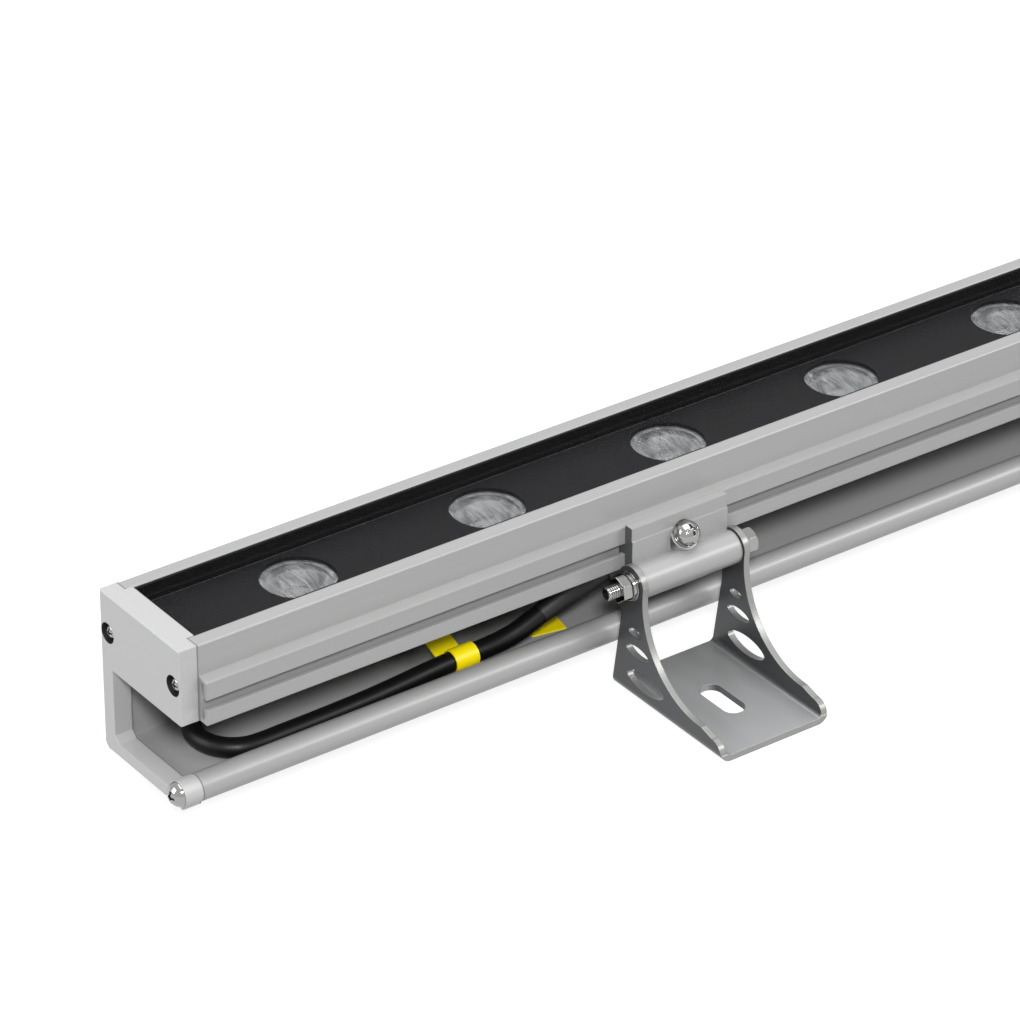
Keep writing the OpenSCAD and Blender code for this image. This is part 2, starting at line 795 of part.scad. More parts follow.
// Side view of the bracket in the lamp's Y and depth
module ear_outline() {
    difference() {
        union() {
            dot(pivot_y, pivot_d, ear_r);
            polygon([
                [front_y, -pivot_d],
                [front_y, -wall_d + sweep_h],
                [sweep_y + front_in, -wall_d + sweep_h],
                [sweep_y + front_in, -wall_d + foot_h + front_in],
                [foot_front + nose_back, -wall_d + nose_up + nose_r_in - fit],
                [foot_front + nose_back - nose_r_in + front_in, -wall_d + sheet_t + foot_lip],
                [foot_front, -wall_d + sheet_t + foot_lip],
                [foot_front, -wall_d],
                [pivot_y + base_back, -wall_d],
                [pivot_y + base_back, -wall_d + heel_h],
                [pivot_y + waist_out, -wall_d + waist_h],
                [pivot_y + waist_out, -wall_d + neck_h],
                [pivot_y + ear_r - front_in, -pivot_d - waist_drop]]);
            dot(foot_front + nose_back, wall_d - nose_up, nose_r_in);
        }
        dot(sweep_y, wall_d - sweep_h, sweep_r);
    }
}

// U channel of the bent sheet, seen from the front, round its own middle
module sheet_outline() {
    difference() {
        union() {
            translate([-ear_out + bend_r + sheet_t, 0]) square([2 * (ear_out - bend_r - sheet_t), sheet_t]);
            for (side = [-1, 1]) translate([side * (ear_in - bend_r), bend_r + sheet_t]) circle(bend_r + sheet_t);
            for (side = [-1, 1]) translate([side * (ear_in + sheet_t / 2) - sheet_t / 2, bend_r + sheet_t])
                square([sheet_t, pivot_h + ear_r]);
        }
        translate([-ear_in + bend_r, sheet_t]) square([2 * (ear_in - bend_r), pivot_h + 2 * ear_r]);
        translate([-ear_in, sheet_t + bend_r]) square([2 * ear_in, pivot_h + 2 * ear_r]);
        for (side = [-1, 1]) translate([side * (ear_in - bend_r), bend_r + sheet_t]) circle(bend_r);
    }
}

module bracket(x) {
    reach = base_reach + base_back;
    color([0.5, 0.51, 0.52]) translate([x, 0, 0]) difference() {
        intersection() {
            translate([0, pivot_y + base_back + over, -wall_d]) rotate([90, 0, 0])
                linear_extrude(reach + 2 * over) sheet_outline();
            along(-ear_out - over, 2 * (ear_out + over)) ear_outline();
        }
        translate([-ear_out - over, pivot_y, -pivot_d]) rotate([0, 90, 0])
            cylinder(h = 2 * (ear_out + over), r = bolt_hole_r);
        for (k = [0:2]) along(-ear_out - over, 2 * (ear_out + over))
            translate([pivot_y - reach * oval_out_shares[k], -wall_d + pivot_h * oval_h_shares[k]])
                oval(pivot_h * oval_a_shares[k], pivot_h * oval_b_shares[k]);
        for (side = [-1, 1]) translate([0, fix_y + side * (fix_l - fix_w) / 2, -wall_d - over])
            cylinder(h = sheet_t + 2 * over, r = fix_w / 2);
        translate([-fix_w / 2, fix_y - (fix_l - fix_w) / 2, -wall_d - over])
            cube([fix_w, fix_l - fix_w, sheet_t + 2 * over]);
    }
}

// Bolt through both ears and the barrel, head on the right
module pivot_bolt(x) {
    color([0.78, 0.78, 0.79]) translate([x + ear_out + washer_t, pivot_y, -pivot_d]) rotate([0, 90, 0]) {
        rotate(hex_turn) hexagon(hex_w, bolt_head_h);
        translate([0, 0, -bolt_l]) cylinder(h = tip_chamfer, r1 = bolt_r - tip_chamfer, r2 = bolt_r);
        translate([0, 0, tip_chamfer - bolt_l]) cylinder(h = bolt_l - tip_chamfer + bolt_head_h / 2, r = bolt_r);
    }
}

module pivot_nut(x) {
    color([0.78, 0.78, 0.79]) translate([x - ear_out - washer_t - spring_t - nut_h, pivot_y, -pivot_d])
        rotate([0, 90, 0]) difference() {
            rotate(hex_turn) hexagon(hex_w, nut_h);
            translate([0, 0, -over]) cylinder(h = nut_h + 2 * over, r = bolt_r);
        }
}

module pivot_washers(x) {
    color([0.7, 0.7, 0.71]) for (place = [-ear_out - washer_t, ear_out])
        translate([x + place, pivot_y, -pivot_d]) rotate([0, 90, 0]) ring(washer_r, bolt_r + fit, washer_t);
}

module spring_washer(x) {
    color([0.6, 0.6, 0.61]) translate([x - ear_out - washer_t - spring_t, pivot_y, -pivot_d])
        rotate([0, 90, 0]) split_ring(washer_r - spring_t / 3, bolt_r + fit, spring_t);
}

// Turns Z to the clamp screw's axis, with zero on its seat
module at_clamp_screw(x) {
    translate([x + screw_side, boss_y, -boss_d]) rotate([clamp_tilt, 0, 0]) children();
}

module clamp_outline() {
    union() {
        dot(pivot_y, pivot_d, barrel_r);
        bar(clamp_front, clamp_back, clamp_d, pivot_d - barrel_r / 2);
        bar(clamp_front - step_t, clamp_front + fit, clamp_d + step_h, pivot_d - barrel_r / 2);
        bar(clamp_back - fit, tee_back, slot_mid_d - stem_h / 2, slot_mid_d + stem_h / 2);
        bar(tee_back - tee_t, tee_back, slot_mid_d - tee_h / 2, slot_mid_d + tee_h / 2);
    }
}

module clamp(x) {
    color([0.62, 0.63, 0.64]) difference() {
        union() {
            along(x - clamp_l / 2, clamp_l) clamp_outline();
            difference() {
                at_clamp_screw(x) translate([0, 0, -lip_reach]) cylinder(h = lip_reach, r = boss_r);
                translate([x - boss_r - over, clamp_back, -floor_d])
                    cube([2 * (boss_r + over), section_w, floor_d]);
            }
        }
        translate([x - clamp_l / 2 - over, pivot_y, -pivot_d]) rotate([0, 90, 0])
            cylinder(h = clamp_l + 2 * over, r = barrel_bore_r);
        at_clamp_screw(x) translate([0, 0, -lip_reach]) cylinder(h = lip_reach + over, r = screw_r);
        // Spot face for the washers
        at_clamp_screw(x) cylinder(h = 2 * boss_r, r = spot_r);
    }
}

// Pan head screw whose point presses on the lower lip of the rail
module clamp_screw(x) {
    seat = screw_washer_t + screw_spring_t;
    color([0.78, 0.78, 0.79]) at_clamp_screw(x) {
        translate([0, 0, seat]) pan_screw(screw_r, seat + lip_reach - tip_l - screw_r, pan_r, pan_h, 1);
        translate([0, 0, -lip_reach + rest_gap + tip_r]) cylinder(h = tip_l + screw_r, r = tip_r);
    }
}

module clamp_washer(x) {
    color([0.7, 0.7, 0.71]) at_clamp_screw(x) ring(pan_r + gap, screw_r + fit, screw_washer_t);
}

module clamp_spring_washer(x) {
    color([0.6, 0.6, 0.61]) at_clamp_screw(x) translate([0, 0, screw_washer_t])
        split_ring(pan_r - spring_t / 3, screw_r + fit, screw_spring_t);
}

in_place() housing_profile();
in_place() end_cap_left();
in_place() end_cap_right();
in_place() end_gasket_left();
in_place() end_gasket_right();
in_place() cap_side_screws();
in_place() cap_lower_screws();
in_place() cover_glass();
in_place() glass_seal();
in_place() lens_mask();
in_place() led_board();
in_place() heat_pad();
in_place() led_emitters();
in_place() board_fixings();
in_place() feed_wires();
in_place() cable_outlet();
in_place() strain_relief();
in_place() blank_outlet();
in_place() outlet_plug();
in_place() input_lead();
in_place() input_connector();
in_place() connector_pins();
in_place() marker_sleeve();
in_place() marker_flag();
for (i = [1:lens_count]) in_place() lens(i);
for (k = [0, 1]) {
    side = k == 0 ? "_left" : "_right";
    x = bracket_x[k];
    in_place() bracket(x);
    in_place() pivot_bolt(x);
    in_place() pivot_nut(x);
    in_place() pivot_washers(x);
    in_place() spring_washer(x);
    in_place() clamp(x);
    in_place() clamp_screw(x);
    in_place() clamp_washer(x);
    in_place() clamp_spring_washer(x);
}
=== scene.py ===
"""Looks for a linear outdoor wall washer light: finishes, its lead and a plain studio."""
import math

import bpy
from bpy.props import FloatProperty, FloatVectorProperty, IntProperty, PointerProperty
from mathutils import Matrix, Vector


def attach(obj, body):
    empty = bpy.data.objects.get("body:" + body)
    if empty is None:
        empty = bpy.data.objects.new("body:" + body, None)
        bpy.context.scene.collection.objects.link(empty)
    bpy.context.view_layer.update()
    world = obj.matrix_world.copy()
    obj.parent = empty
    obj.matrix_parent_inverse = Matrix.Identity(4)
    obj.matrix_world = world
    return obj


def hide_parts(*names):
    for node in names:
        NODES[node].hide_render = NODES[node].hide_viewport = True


bl_info = {
    "name": "Wall washer light",
    "version": (1, 0, 0),
    "blender": (4, 5, 0),
    "location": "3D View > Sidebar > Wall washer",
    "description": "Finishes, lead and studio of a linear wall washer light",
    "category": "Object",
}

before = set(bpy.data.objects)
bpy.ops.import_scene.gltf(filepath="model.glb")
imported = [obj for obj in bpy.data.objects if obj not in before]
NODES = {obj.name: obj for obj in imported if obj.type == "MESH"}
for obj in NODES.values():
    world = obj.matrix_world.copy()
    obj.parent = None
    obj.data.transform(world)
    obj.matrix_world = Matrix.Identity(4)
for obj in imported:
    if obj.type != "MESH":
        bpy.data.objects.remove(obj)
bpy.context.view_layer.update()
SIDES = ("left", "right")
LENSES = sorted(name for name in NODES if name.startswith("lens_") and name != "lens_mask")

# Lengths are in metres, and in millimetres where a name ends in mm
MM_PER_M = 1000

# Where the bolts' axis crosses the middle plane, and the bolts' thread
PIVOT_AXIS = (0, 0.0187, 0.0375)
THREAD_R = 0.0022
THREAD_PITCH_MM = 0.7
THREAD_DEPTH_MM = 0.3
# Axes of the recesses round the caps' side screws, their radius, and how far outside that radius
# the painted shade of the recess starts to fade and ends
CAP_BORES = ((0, 0.0319, 0.0508), (0, 0.0647, 0.0508))
CAP_BORE_R = 0.0031
CAP_RECESS_SHADE_FADE = (0.00002, 0.00008)
# Height of the upper face of a bracket's base
BASE_TOP = 0.0025
# Half the width over which one finish passes into the next
BLEND = 0.0001
# Radius to which steel edges are broken, and how finely a broken edge is drawn
STEEL_EDGE_MM = 0.3
BEVEL_SAMPLES = 6
# Smooth shading stops at edges sharper than this
SHARP_DEGREES = 32

# Sockets of a Mix node for its two colours and for the mixed one
MIX_A, MIX_B, MIXED = 6, 7, 2
WHITE = (1, 1, 1, 1)

# The camera's place, the direction it looks in and its roll
CAMERA_PLACE = (-1.1197, -0.97171, 0.80652)
CAMERA_AHEAD = (0.50603, 0.69438, -0.51163)
CAMERA_ROLL_DEGREES = 0.252
SENSOR_MM = 36.0
CLIP_NEAR, CLIP_FAR = 0.01, 100.0
# The floor's half width, its height just under the brackets, and the glow that makes it white
FLOOR_REACH, FLOOR_HEIGHT, FLOOR_GLOW = 20.0, -0.0002, 0.86
# Each lamp's name, power setting, width, height, place and the point it is turned to
LAMPS = (
    ("key_lamp", "key_power", 0.5, 0.5, (-1.9, -2.3, 2.25), (0, 0.03, 0.04)),
    ("strip_lamp", "strip_power", 1.9, 0.4, (2.0, -2.3, 2.25), (0, 0.03, 0.04)),
    ("top_lamp", "top_power", 1.6, 1.6, (-0.3, 0.1, 1.8), (0, 0.03, 0.04)),
    ("left_lamp", "left_power", 0.8, 0.8, (-1.7, 0.5, 0.7), (-0.4, 0.03, 0.04)),
)

# The lead's route: down from the strain relief, left along the bead, round in the left end and
# back along the rear wall to the connector
LEAD_ROUTE = (
    (-0.3724, 0.0391, 0.02366), (-0.3758, 0.0392, 0.02225), (-0.3794, 0.0394, 0.02075),
    (-0.3834, 0.0399, 0.01935), (-0.3878, 0.0405, 0.01835), (-0.3928, 0.0409, 0.0178),
    (-0.3985, 0.0409, 0.0177), (-0.407, 0.0405, 0.01765), (-0.418, 0.0398, 0.01735),
    (-0.43, 0.0391, 0.0171), (-0.442, 0.0386, 0.0171), (-0.454, 0.03835, 0.0171),
    (-0.462, 0.0383, 0.0171), (-0.469, 0.0383, 0.0171), (-0.47271, 0.03889, 0.0171),
    (-0.47605, 0.04059, 0.0171), (-0.47871, 0.04325, 0.0171), (-0.48041, 0.04659, 0.0171),
    (-0.481, 0.0503, 0.0171), (-0.48041, 0.05401, 0.0171), (-0.47871, 0.05735, 0.0171),
    (-0.47605, 0.06001, 0.0171), (-0.47271, 0.06171, 0.0171), (-0.469, 0.0623, 0.0171),
    (-0.463, 0.0624, 0.0171), (-0.454, 0.0624, 0.0171), (-0.444, 0.0624, 0.0172),
    (-0.434, 0.0621, 0.0175), (-0.425, 0.0615, 0.0181), (-0.417, 0.0608, 0.0188),
    (-0.412, 0.06055, 0.01905), (-0.408, 0.0605, 0.0191),
)


def linear(code):
    """Linear red, green and blue, with a full alpha, from an sRGB hex value."""
    shades = [int(code[i:i + 2], 16) / 255 for i in (0, 2, 4)]
    return [s / 12.92 if s <= 0.04045 else ((s + 0.055) / 1.055) ** 2.4 for s in shades] + [1.0]


def add(tree, kind, values=None, joins=None):
    """Adds a node, sets its values and joins its inputs to other nodes' outputs."""
    node = tree.nodes.new(kind)
    for key, value in (values or {}).items():
        if isinstance(key, str) and hasattr(node, key):
            setattr(node, key, value)
        else:
            node.inputs[key].default_value = value
    for key, source in (joins or {}).items():
        tree.links.new(source, node.inputs[key])
    return node


def blank_material(name):
    """A material with no nodes but its output."""
    material = bpy.data.materials.new(name)
    material.use_nodes = True
    material.node_tree.nodes.clear()
    return material, material.node_tree, add(material.node_tree, "ShaderNodeOutputMaterial")


def shade(colour, amount):
    """The same colour, lighter or darker by a factor."""
    return [min(1.0, c * amount) for c in colour[:3]] + [1.0]


def grain(tree, sizes_mm):
    """Noise whose grains have the given sizes along X, Y and Z."""
    place = add(tree, "ShaderNodeTexCoord")
    scaled = add(tree, "ShaderNodeVectorMath",
                 {"operation": "MULTIPLY", 1: [MM_PER_M / size for size in sizes_mm]},
                 {0: place.outputs["Object"]})
    return add(tree, "ShaderNodeTexNoise", {"Scale": 1.0, "Detail": 3.0},
               {"Vector": scaled.outputs[0]})


def facing_sideways(tree):
    """How squarely the surface faces left or right, from 0 to 1."""
    place = add(tree, "ShaderNodeTexCoord")
    facing = add(tree, "ShaderNodeSeparateXYZ", {}, {0: place.outputs["Normal"]})
    return add(tree, "ShaderNodeMath", {"operation": "ABSOLUTE"}, {0: facing.outputs[0]}).outputs[0]


def distance_from(tree, axis):
    """How far the surface is from an axis that runs along X."""
    place = add(tree, "ShaderNodeTexCoord")
    across = add(tree, "ShaderNodeVectorMath", {"operation": "MULTIPLY", 1: (0, 1, 1)},
                 {0: place.outputs["Object"]})
    return add(tree, "ShaderNodeVectorMath", {"operation": "DISTANCE", 1: axis},
               {0: across.outputs[0]}).outputs["Value"]


def surface(name, colour, roughness, grain_mm, metallic=0.0, specular=0.5, tint=0.04, span=0.06,
            bump_mm=0.02, edge_mm=0.0, ends=None):
    """A finish whose grain shows in its colour by tint, in its roughness by span and in its
    relief by bump_mm, with edges broken by edge_mm. Faces that look left or right take the colour
    of the ends, a painted shade, where one is given."""
    material, tree, out = blank_material(name)
    noise = grain(tree, grain_mm)
    mixed = add(tree, "ShaderNodeMix",
                {"data_type": "RGBA", MIX_A: shade(colour, 1 - tint),
                 MIX_B: shade(colour, 1 + tint)}, {0: noise.outputs["Fac"]})
    if ends:
        # Faces that look left or right are darkened with painted shade
        painted_shade_on_ends = add(tree, "ShaderNodeMapRange", {"From Min": 0.8, "From Max": 0.95},
                   {"Value": facing_sideways(tree)})
        mixed = add(tree, "ShaderNodeMix", {"data_type": "RGBA", MIX_B: ends},
                    {0: painted_shade_on_ends.outputs[0], MIX_A: mixed.outputs[MIXED]})
    gloss = add(tree, "ShaderNodeMapRange",
                {"To Min": roughness - span, "To Max": roughness + span},
                {"Value": noise.outputs["Fac"]})
    relief = add(tree, "ShaderNodeBump", {"Strength": 0.5, "Distance": bump_mm / MM_PER_M},
                 {"Height": noise.outputs["Fac"]})
    if edge_mm:
        edge = add(tree, "ShaderNodeBevel",
                   {"samples": BEVEL_SAMPLES, "Radius": edge_mm / MM_PER_M})
        tree.links.new(edge.outputs[0], relief.inputs["Normal"])
    shader = add(tree, "ShaderNodeBsdfPrincipled",
                 {"Metallic": metallic, "Specular IOR Level": specular},
                 {"Base Color": mixed.outputs[MIXED], "Roughness": gloss.outputs[0],
                  "Normal": relief.outputs[0]})
    tree.links.new(shader.outputs[0], out.inputs[0])
    return material


def anodised_extrusion(name, colour, ends=None):
    """Aluminium, extruded and natural anodised: satin, with fine die lines along its length.
    The oxide scatters part of the light. The lines are about 0.2 mm apart on the real profile and
    are drawn 0.8 mm wide, to show. The cut ends may be given a darker grey, which is painted shade."""
    return surface(name, colour, 0.36, (120, 0.8, 0.8), metallic=0.1, span=0.05, bump_mm=0.012,
                   edge_mm=0.35, ends=ends)


def blasted_aluminium(name, colour, recess_shade):
    """Cast aluminium, bead blasted and anodised: even, pale and nearly matt, with a fine grain.
    The blasting's pits are about 0.1 mm and are drawn 0.4 mm wide, to show. The recesses round the
    two side screws are painted dark, as painted shade."""
    material = surface(name, colour, 0.5, (0.4, 0.4, 0.4), metallic=0.2, tint=0.03, span=0.04,
                       bump_mm=0.01, edge_mm=0.3)
    tree = material.node_tree
    shader = next(node for node in tree.nodes if node.type == "BSDF_PRINCIPLED")
    # Painted shade darkens the recesses round the side screws
    first, second = (distance_from(tree, bore) for bore in CAP_BORES)
    nearest = add(tree, "ShaderNodeMath", {"operation": "MINIMUM"}, {0: first, 1: second})
    starts, ends = (CAP_BORE_R + fade for fade in CAP_RECESS_SHADE_FADE)
    painted_recess_shade = add(tree, "ShaderNodeMapRange",
                 {"From Min": starts, "From Max": ends, "To Min": 1.0, "To Max": 0.0},
                 {"Value": nearest.outputs[0]})
    mixed = add(tree, "ShaderNodeMix", {"data_type": "RGBA", MIX_B: recess_shade},
                {0: painted_recess_shade.outputs[0], MIX_A: shader.inputs["Base Color"].links[0].from_socket})
    tree.links.new(mixed.outputs[MIXED], shader.inputs["Base Color"])
    return material


def sheet_steel(name, ear, base, cut):
    """Stainless sheet, rolled, laser cut and bent: satin, with the ears' faces darkened by painted
    shade, the base's face lightened by painted light and the cut edges and other faces in a grey
    between the two. The rolling grain is about 0.1 mm wide and is drawn 0.6 mm wide, to show."""
    material, tree, out = blank_material(name)
    noise = grain(tree, (6, 25, 0.6))
    place = add(tree, "ShaderNodeTexCoord")
    facing = add(tree, "ShaderNodeSeparateXYZ", {}, {0: place.outputs["Normal"]})
    spot = add(tree, "ShaderNodeSeparateXYZ", {}, {0: place.outputs["Object"]})
    # The base's face looks up and lies no higher than BASE_TOP; it gets painted light
    low = add(tree, "ShaderNodeMapRange",
              {"From Min": BASE_TOP - BLEND, "From Max": BASE_TOP + BLEND, "To Min": 1.0,
               "To Max": 0.0}, {"Value": spot.outputs[2]})
    rise = add(tree, "ShaderNodeMath", {"operation": "MULTIPLY"},
               {0: facing.outputs[2], 1: low.outputs[0]})
    painted_light_on_base = add(tree, "ShaderNodeMapRange", {"From Min": 0.85, "From Max": 0.95},
                  {"Value": rise.outputs[0]})
    plate = add(tree, "ShaderNodeMix", {"data_type": "RGBA", MIX_A: cut, MIX_B: base},
                {0: painted_light_on_base.outputs[0]})
    # The ears' faces look left and right; they get painted shade
    painted_shade_on_ear = add(tree, "ShaderNodeMapRange", {"From Min": 0.3, "From Max": 0.9},
                 {"Value": facing_sideways(tree)})
    faces = add(tree, "ShaderNodeMix", {"data_type": "RGBA", MIX_B: ear},
                {0: painted_shade_on_ear.outputs[0], MIX_A: plate.outputs[MIXED]})
    worn = add(tree, "ShaderNodeMapRange", {"To Min": 0.92, "To Max": 1.08},
               {"Value": noise.outputs["Fac"]})
    tinted = add(tree, "ShaderNodeVectorMath", {"operation": "SCALE"},
                 {0: faces.outputs[MIXED], "Scale": worn.outputs[0]})
    gloss = add(tree, "ShaderNodeMapRange", {"To Min": 0.3, "To Max": 0.42},
                {"Value": noise.outputs["Fac"]})
    edge = add(tree, "ShaderNodeBevel",
               {"samples": BEVEL_SAMPLES, "Radius": STEEL_EDGE_MM / MM_PER_M})
    relief = add(tree, "ShaderNodeBump", {"Strength": 0.4, "Distance": 0.01 / MM_PER_M},
                 {"Height": noise.outputs["Fac"], "Normal": edge.outputs[0]})
    shader = add(tree, "ShaderNodeBsdfPrincipled", {"Metallic": 0.5},
                 {"Base Color": tinted.outputs[0], "Roughness": gloss.outputs[0],
                  "Normal": relief.outputs[0]})
    tree.links.new(shader.outputs[0], out.inputs[0])
    return material


def polished_stainless(name, colour, threaded=False):
    """Stainless steel, cold headed and tumbled: bright, with hard reflections.
    A threaded one has the ridges of a rolled thread on the shank along the pivot's axis."""
    material, tree, out = blank_material(name)
    noise = grain(tree, (0.8, 0.8, 0.8))
    gloss = add(tree, "ShaderNodeMapRange", {"To Min": 0.05, "To Max": 0.12},
                {"Value": noise.outputs["Fac"]})
    edge = add(tree, "ShaderNodeBevel",
               {"samples": BEVEL_SAMPLES, "Radius": STEEL_EDGE_MM / MM_PER_M})
    relief = add(tree, "ShaderNodeBump", {"Strength": 0.3, "Distance": 0.02 / MM_PER_M},
                 {"Height": noise.outputs["Fac"], "Normal": edge.outputs[0]})
    if threaded:
        place = add(tree, "ShaderNodeTexCoord")
        # A wave's bands repeat every pi / (10 * scale)
        ridges = add(tree, "ShaderNodeTexWave",
                     {"Scale": math.pi / (10 * THREAD_PITCH_MM / MM_PER_M)},
                     {"Vector": place.outputs["Object"]})
        shank = add(tree, "ShaderNodeMapRange",
                    {"From Min": THREAD_R - BLEND, "From Max": THREAD_R + BLEND, "To Min": 1.0,
                     "To Max": 0.0}, {"Value": distance_from(tree, PIVOT_AXIS)})
        height = add(tree, "ShaderNodeMath", {"operation": "MULTIPLY"},
                     {0: ridges.outputs["Fac"], 1: shank.outputs[0]})
        relief = add(tree, "ShaderNodeBump",
                     {"Strength": 0.6, "Distance": THREAD_DEPTH_MM / MM_PER_M},
                     {"Height": height.outputs[0], "Normal": relief.outputs[0]})
    shader = add(tree, "ShaderNodeBsdfPrincipled", {"Base Color": colour, "Metallic": 1.0},
                 {"Roughness": gloss.outputs[0], "Normal": relief.outputs[0]})
    tree.links.new(shader.outputs[0], out.inputs[0])
    return material


def clear_for_shadows(tree, out, shader):
    """Lets the lamps' light through a clear piece, which would otherwise cast a full shadow."""
    ray = add(tree, "ShaderNodeLightPath")
    through = add(tree, "ShaderNodeBsdfTransparent")
    mixed = add(tree, "ShaderNodeMixShader", {},
                {0: ray.outputs["Is Shadow Ray"], 1: shader.outputs[0], 2: through.outputs[0]})
    tree.links.new(mixed.outputs[0], out.inputs[0])


def toughened_glass(name, colour):
    """Float glass, toughened and coated against reflections: a thin sheet that is all but clear,
    with little gloss."""
    material, tree, out = blank_material(name)
    noise = grain(tree, (40, 40, 40))
    gloss = add(tree, "ShaderNodeMapRange", {"To Min": 0.02, "To Max": 0.05},
                {"Value": noise.outputs["Fac"]})
    shader = add(tree, "ShaderNodeBsdfPrincipled",
                 {"Base Color": colour, "IOR": 1.52, "Specular IOR Level": 0.12, "Alpha": 0.04},
                 {"Roughness": gloss.outputs[0]})
    clear_for_shadows(tree, out, shader)
    return material


def moulded_acrylic(name, colour):
    """Acrylic, moulded with a frosted top: milky and slightly streaked, with soft highlights."""
    material, tree, out = blank_material(name)
    noise = grain(tree, (0.9, 6, 4))
    milk = add(tree, "ShaderNodeMapRange", {"From Min": 0.35, "From Max": 0.65},
               {"Value": noise.outputs["Fac"]})
    mixed = add(tree, "ShaderNodeMix",
                {"data_type": "RGBA", MIX_A: shade(colour, 0.5), MIX_B: shade(colour, 1.4)},
                {0: milk.outputs[0]})
    gloss = add(tree, "ShaderNodeMapRange", {"To Min": 0.02, "To Max": 0.3},
                {"Value": noise.outputs["Fac"]})
    relief = add(tree, "ShaderNodeBump", {"Strength": 0.7, "Distance": 0.1 / MM_PER_M},
                 {"Height": noise.outputs["Fac"]})
    shader = add(tree, "ShaderNodeBsdfPrincipled", {"IOR": 1.49, "Transmission Weight": 0.8},
                 {"Base Color": mixed.outputs[MIXED], "Roughness": gloss.outputs[0],
                  "Normal": relief.outputs[0]})
    clear_for_shadows(tree, out, shader)
    return material


def looked_at(tree):
    """Tells a ray of the camera, of gloss or through a clear piece from the light's own rays."""
    ray = add(tree, "ShaderNodeLightPath")
    seen = add(tree, "ShaderNodeMath", {"operation": "MAXIMUM"},
               {0: ray.outputs["Is Camera Ray"], 1: ray.outputs["Is Transmission Ray"]})
    return add(tree, "ShaderNodeMath", {"operation": "MAXIMUM"},
               {0: seen.outputs[0], 1: ray.outputs["Is Glossy Ray"]}).outputs[0]


def paint(names, material):
    """Gives CAD pieces one finish and smooth shading that keeps their edges."""
    for name in names:
        mesh = NODES[name].data
        mesh.materials.clear()
        mesh.materials.append(material)
        mesh.polygons.foreach_set("use_smooth", [True] * len(mesh.polygons))
        mesh.set_sharp_from_angle(angle=math.radians(SHARP_DEGREES))


def colour_of(name, code, words):
    """A colour setting for the panel."""
    return FloatVectorProperty(name=name, description=words, subtype="COLOR", size=4, min=0, max=1,
                               default=linear(code))


def power_of(name, watts, words):
    """A lamp's power setting for the panel."""
    return FloatProperty(name=name, description=words, unit="POWER", default=watts, min=0)


class FinishSettings(bpy.types.PropertyGroup):
    """Colours of the light's finishes."""
    profile: colour_of("Profile", "A2A3A2", "Anodised aluminium of the profile and clamps")
    cap: colour_of("Caps", "B9BAB9", "Blasted aluminium of the end caps")
    # The ears' dark colour is painted shade and the base's pale colour is painted light, on one
    # sheet
    ear_face_painted_shade: colour_of("Bracket ears", "484A4C", "Rolled faces of the ears")
    base_face_painted_light: colour_of("Bracket base", "AEAFB0", "Rolled face of the base")
    sheet_cut: colour_of("Bracket edge", "929290", "Cut edge of the sheet")
    steel: colour_of("Fasteners", "9A9A98", "Polished stainless steel")
    mask: colour_of("Mask", "171719", "Moulded mask round the lenses")
    board: colour_of("Board", "DADAD8", "Solder mask of the board")
    marker: colour_of("Markers", "FFE806", "Film of the blank markers")
    sheath: colour_of("Lead", "0A0A0C", "Sheath of the lead")


class LeadSettings(bpy.types.PropertyGroup):
    """Sizes of the lead."""
    diameter: FloatProperty(name="Diameter", description="Outer diameter of the sheath",
                            unit="LENGTH", default=0.006, min=0.004, max=0.0062)
    steps: IntProperty(name="Steps", description="Steps between two points of the route",
                       default=5, min=2, max=12)


class StudioSettings(bpy.types.PropertyGroup):
    """Lamps and camera of the studio."""
    key_power: power_of("Key", 94.0, "Power of the small lamp at the front left")
    strip_power: power_of("Strip", 46.0, "Power of the long lamp at the front right")
    top_power: power_of("Top", 21.0, "Power of the large lamp overhead")
    left_power: power_of("Left", 9.0, "Power of the lamp at the rear left")
    ambient: FloatProperty(name="Ambient", description="Strength of the even light",
                           default=0.12, min=0, max=2)
    lens: FloatProperty(name="Lens", description="Focal length of the camera", unit="CAMERA",
                        default=183.8, min=20, max=400)


class WASHER_OT_lead(bpy.types.Operator):
    """Lays the lead along its route in the channel"""
    bl_idname = "washer.lead"
    bl_label = "Lead"

    def execute(self, context):
        sizes = context.scene.washer_lead
        curve = bpy.data.curves.new("lead", "CURVE")
        curve.dimensions = "3D"
        curve.bevel_depth = sizes.diameter / 2
        curve.bevel_resolution = 7
        curve.resolution_u = sizes.steps
        curve.use_fill_caps = True
        line = curve.splines.new("BEZIER")
        line.bezier_points.add(len(LEAD_ROUTE) - 1)
        for knot, place in zip(line.bezier_points, LEAD_ROUTE):
            knot.co = place
            knot.handle_left_type = knot.handle_right_type = "AUTO"
        lead = bpy.data.objects.new("lead", curve)
        context.scene.collection.objects.link(lead)
        # Polyurethane, extruded round the cores: black, satin, with a soft grain from the die
        curve.materials.append(surface("polyurethane_sheath",
                                       list(context.scene.washer_finish.sheath), 0.42,
                                       (1.2, 1.2, 1.2), specular=0.25, tint=0.15, bump_mm=0.03))
        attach(lead, "lamp")
        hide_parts("input_lead")
        return {"FINISHED"}


